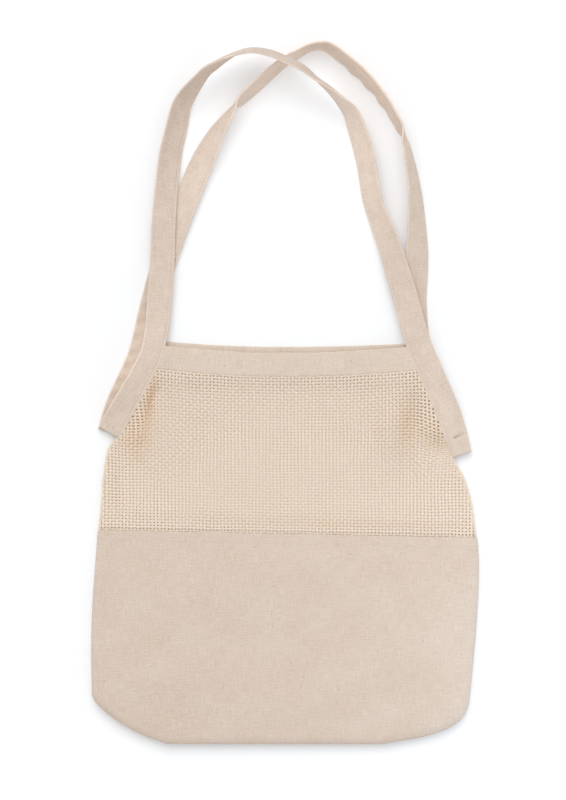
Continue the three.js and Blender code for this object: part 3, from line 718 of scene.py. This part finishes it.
# y of a net row (share along) at x: between the canvas seam and the band, found by three rounds of
# reading the share across from the last y
def netRowY(half, x, along):
    y = mix(pouch["seamY"], bandLow[1], along)
    for _ in range(3):
        leftX, _ = sideAt(half["sides"][0], y)
        rightX, _ = sideAt(half["sides"][1], y)
        share = np.clip((x - leftX) / (rightX - leftX), 0, 1)
        y = mix(seamRow(share), bowedRow(bandLow, share), along)
    return y


# Height of the net. The front dips under the canvas at its seam, the back rises a little where the front
# stands high above it.
def netHeight(half, x, y, along):
    z = halfHeight(half, x, y, net["lie"])
    if half["name"] == "front":
        return z - net["dip"] * (1 - ease(along, 0, net["dipShare"]))
    above = halfHeight(halves["front"], x, y, 0)
    lift = np.clip(above - net["nearest"] - z, 0, net["follow"]) * ease(along, 0, net["followStart"])
    return z + lift * (1 - ease(along, net["followEnd"], 1))


# Columns: upright yarns at every pitch, each from under the canvas up to the band or to the strap that cuts
# it. They weave over and under the rows as cos(pi (row + column)).
def netColumns(half):
    left, right = (side["line"] for side in half["sides"])
    first = np.interp(seamRow(0.0), left[:, 1], left[:, 0])
    last = np.interp(seamRow(1.0), right[:, 1], right[:, 0])
    count = int((last - first) / net["pitch"])
    x = first + net["columnStart"][half["name"]] + net["pitch"] * np.arange(count)
    aboveSeam = [line[line[:, 1] > pouch["seamY"] - net["seamSlack"]] for line in (left, right)]
    cutLeft = np.interp(x, aboveSeam[0][:, 0], aboveSeam[0][:, 1])
    cutRight = np.interp(-x, -aboveSeam[1][:, 0], aboveSeam[1][:, 1])
    low = netRowY(half, x, 0 * x) - net["under"]
    high = np.minimum(netRowY(half, x, 0 * x + 1) + net["underBand"], np.minimum(cutLeft, cutRight))
    keep = high - low > net["shortest"]
    x, low, high = (v[keep, None] for v in (x, low, high))
    y = mix(low, high, np.linspace(0, 1, 2 * net["rows"] - 1)[None, :])
    x = x + 0 * y
    seam, top = netRowY(half, x, 0 * x), netRowY(half, x, 0 * x + 1)
    along = (y - seam) / (top - seam)
    row = along * (net["rows"] - 1)
    over = np.cos(np.pi * (row + np.arange(len(x))[:, None]))
    x, y = dragged(half, x, y)
    return np.stack([x, y, netHeight(half, x, y, along) + net["relief"] * over], -1)


# Rows: yarns across from side to side, at even shares between the seam and the band. They lie level, and
# the columns weave over and under them.
def netRows(half, samples=88):
    along = np.linspace(*net["rowEnds"], net["rows"]) + net["rowStart"][half["name"]] / net["rows"]
    across, along = np.meshgrid(np.linspace(0, 1, samples), along)
    y = mix(seamRow(across), bowedRow(bandLow, across), along)
    leftX, _ = sideAt(half["sides"][0], y)
    rightX, _ = sideAt(half["sides"][1], y)
    x, y = dragged(half, mix(leftX, rightX, across), y)
    return np.stack([x, y, netHeight(half, x, y, along)], -1)


# Selvedges: packed yarns that run up both sides from the canvas, and along the straps to the band
def netSelvedges(half, samples=70):
    inset = net["selvedgeStep"] * np.arange(net["selvedge"])[:, None]
    runs = []
    for side, inward, share in zip(half["sides"], (1, -1), (0.0, 1.0)):
        y = np.linspace(seamRow(share) - net["under"], bowedRow(bandLow, share), samples)
        y = y[None, :] + 0 * inset
        sideX, _ = sideAt(side, y)
        x = sideX + inward * (inset + net["selvedgeIn"])
        runs.append(np.stack([x, y, netHeight(half, x, y, 1 + 0 * y)], -1))
    return np.concatenate(runs)


# One piece out of several meshes
def joined(name, parts):
    first = parts[0]
    with bpy.context.temp_override(active_object=first, selected_editable_objects=parts):
        bpy.ops.object.join()
    first.name = name
    first.data.name = name
    return first


# Columns, rows and selvedges as flat yarns, in one piece
def makeNet(half):
    parts = [("columns", netColumns(half), net["warpWide"], half["name"]),
             ("rows", netRows(half), net["weftWide"], half["name"]),
             ("selvedges", netSelvedges(half), net["selvedgeWide"], "edge")]
    yarns = [ringMesh(name, yarnRings(paths, wide, net["flat"]), yarnMarks(paths), netYarn[yarn])
             for name, paths, wide, yarn in parts]
    piece = joined(half["name"] + "_net", yarns)
    sewn(piece, "net_" + half["name"])


for half in halves.values():
    makeNet(half)
print("net made")


# Bands

band = {
    "thick": 1.8, "across": 420, "along": 26, "gather": 0.8, "flat": (0.275, 0.026),
    "edgeRound": 1.0, "edgeLeast": 0.03, "unevenness": 0.4, "uneven": (38, 31),  # size in the plane and seed
    # the back band is calmer, and slopes down to its edge where it looks out above the front one
    "backShare": 0.4, "arch": 1.0, "archUp": (0.2, 0.7), "archReach": 8, "archOver": 1,
    "creaseUp": (0.1, 0.7),
    # upright creases: x, half width, rise
    "creases": {"front": [(-58, 5, -0.8), (-47, 6, 1.4), (-7, 5, -0.8), (4, 6, 1.4), (60, 9, 0.8)],
                "back": [(-57, 1.8, 3.6), (-6, 2.0, 3.6), (-96, 4, 1.8), (48, 4, 1.6)]},
    # dips of the top edge: share across, reach, drop
    "sags": {"front": [(0.36, 0.07, 1.2), (0.59, 0.14, 0.7)], "back": []},
}


# Top edge of a band: a bowed row less dips shaped like hills
def bandTopRow(half, share):
    dips = sum(drop * hill(share - at, reach) for at, reach, drop in band["sags"][half["name"]])
    return bowedRow(half["top"], share) - dips


# Doubled cloth between two bowed rows, round at its fold and its lower edge. Creases are hills in x.
def makeBand(half):
    across = np.linspace(0, 1, band["across"])
    along = gathered(band["along"], band["gather"])
    low, top = (lambda s: bowedRow(bandLow, s)), (lambda s: bandTopRow(half, s))
    middle = panelPoints(half, across, along, low, top, band["thick"] / 2)
    face = gridFace(middle)
    x, y = middle[..., 0], middle[..., 1]
    up = along[:, None]
    creases = sum(rise * hill(x - at, wide) for at, wide, rise in band["creases"][half["name"]])
    bumps = np.abs(band["unevenness"] * ripple(x, y, *band["uneven"])) + creases * ease(up, *band["creaseUp"])
    if half["name"] == "back":
        shown = y - bowedRow(frontTop, across)[None, :] + band["archOver"]
        arch = band["arch"] * ease(up, *band["archUp"]) * (1 - ease(shown, 0, band["archReach"]))
        bumps = band["backShare"] * bumps + arch
    middle = middle + face * bumps[..., None]
    height = (top(across) - low(across))[None, :]
    edge = np.minimum(along, 1 - along)[:, None] * height
    thick = band["thick"] / 2 * roll(np.maximum(edge, band["edgeLeast"]), band["edgeRound"])
    marks = np.stack([x, y], -1)
    name = half["name"] + "_band"
    piece = wallMesh(name, middle, face, thick, marks, bandCloth)
    sewn(piece, "band_" + half["name"])


for half in halves.values():
    makeBand(half)
print("bands made")


# Floor, light and camera

studio = {
    "floorReach": 3000, "floorDrop": 0.4, "floorWhite": (0.838, 0.85, 0.866), "floorGlow": 0.110,
    "sky": 0.7, "key": 1.41, "keySpread": 50, "keyFrom": (-0.12, 0.57, 0.83),
    "eye": (-2, -7.5, 4000), "lens": 180, "seesTo": 50000,
    # weak lamps: a cool one low beside the right edge of the canvas, and one that looks up into the loop
    "fills": [
        {"power": 0.20, "at": (350, -300, 190), "to": (180, -250, 0), "wide": 220, "spread": 180,
         "tint": (0.62, 0.82, 1.0)},
        {"power": 0.032, "at": (-35, 150, 120), "to": (40, 325, 8), "wide": 160, "spread": 100,
         "tint": (1, 1, 1)},
    ],
}


# A square just below the bag
def makeFloor():
    material, make, _ = nodeMaker("white_table")
    shader = make("BsdfPrincipled", {"Base Color": (*studio["floorWhite"], 1), "Roughness": 1.0,
                                     "Specular IOR Level": 0.0, "Emission Color": (1, 1, 1, 1),
                                     "Emission Strength": studio["floorGlow"]})
    make("OutputMaterial", {0: shader.outputs[0]})
    reach, z = studio["floorReach"] * metre, -studio["floorDrop"] * metre
    mesh = bpy.data.meshes.new("table")
    mesh.from_pydata([(-reach, -reach, z), (reach, -reach, z), (reach, reach, z), (-reach, reach, z)], [],
                     [(0, 1, 2, 3)])
    mesh.materials.append(material)
    floor = bpy.data.objects.new("table", mesh)
    bpy.context.scene.collection.objects.link(floor)


# An even white sky, a broad sun and the two weak lamps
def makeLight():
    sky = bpy.data.worlds.new("sky")
    sky.use_nodes = True
    shade = sky.node_tree.nodes["Background"]
    shade.inputs["Color"].default_value = (1, 1, 1, 1)
    shade.inputs["Strength"].default_value = studio["sky"]
    bpy.context.scene.world = sky
    key = bpy.data.lights.new("key", "SUN")
    key.energy = studio["key"]
    key.angle = np.radians(studio["keySpread"])
    lamp = bpy.data.objects.new("key", key)
    lamp.rotation_euler = Vector(studio["keyFrom"]).to_track_quat("Z", "Y").to_euler()
    bpy.context.scene.collection.objects.link(lamp)
    for fill in studio["fills"]:
        glow = bpy.data.lights.new("fill", "AREA")
        glow.energy, glow.color, glow.size = fill["power"], fill["tint"], fill["wide"] * metre
        glow.spread = np.radians(fill["spread"])
        side = bpy.data.objects.new("fill", glow)
        side.location = Vector(fill["at"]) * metre
        side.rotation_euler = (Vector(fill["at"]) - Vector(fill["to"])).to_track_quat("Z", "Y").to_euler()
        side.visible_camera = False
        bpy.context.scene.collection.objects.link(side)


# A long lens that looks straight down
def makeCamera():
    lens = bpy.data.cameras.new("eye")
    lens.lens = studio["lens"]
    lens.clip_end = studio["seesTo"] * metre
    eye = bpy.data.objects.new("eye", lens)
    eye.location = [v * metre for v in studio["eye"]]
    bpy.context.scene.collection.objects.link(eye)
    bpy.context.scene.camera = eye


makeFloor()
makeLight()
makeCamera()
bpy.context.scene.view_settings.view_transform = "Standard"
print("stage made")
